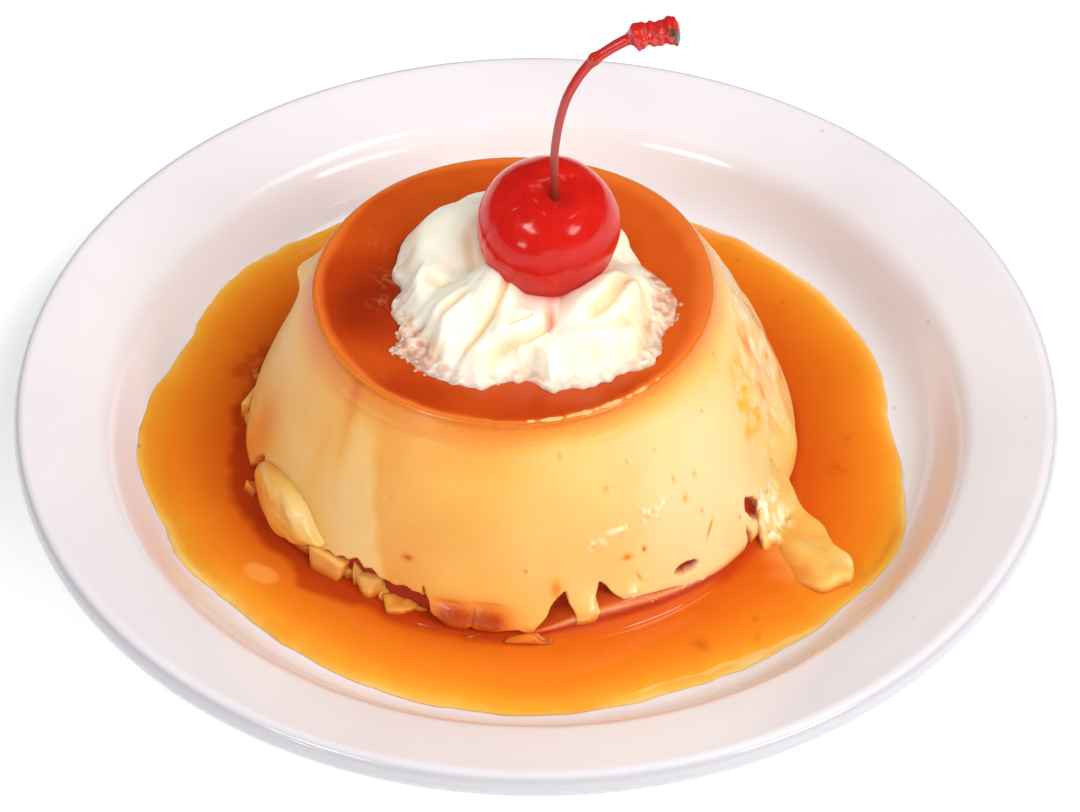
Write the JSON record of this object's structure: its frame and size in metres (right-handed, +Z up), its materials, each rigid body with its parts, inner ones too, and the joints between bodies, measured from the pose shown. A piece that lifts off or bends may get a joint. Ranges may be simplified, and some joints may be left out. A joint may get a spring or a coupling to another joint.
{
  "type": "creme caramel flan",
  "caption": "Turned-out caramel custard with a glossy caramel top, standing in caramel sauce on a round white side plate, topped with whipped cream and a red cherry on its stem.",
  "frame": {"origin": "on the surface that the plate stands on, under the centre of its foot ring, which is the middle of the plate's outline", "axes": "+Z up through the plate's centre; -Y towards the viewer; +X to the viewer's right, the side that the cherry's stem bends to"},
  "size_m": [0.165, 0.165, 0.0901],
  "materials": {
    "plate_glaze": "glossy glaze",
    "sauce": "wet, translucent syrup",
    "custard": "smooth, moist set custard",
    "caramel": "wet caramel film",
    "cream": "soft whipped cream",
    "cherry_skin": "syrupy, high gloss",
    "stem": "satin",
    "custard_skin": "moist torn skin"
  },
  "bodies": {
    "root": {"plate": "plate_glaze", "caramel_sauce": "sauce", "flan_custard": "custard", "caramel_top": "caramel", "whipped_cream": "cream", "cherry": "cherry_skin", "cherry_stem": "stem", "torn_custard": "custard_skin", "custard_flake": "custard_skin"}
  },
  "joints": []
}
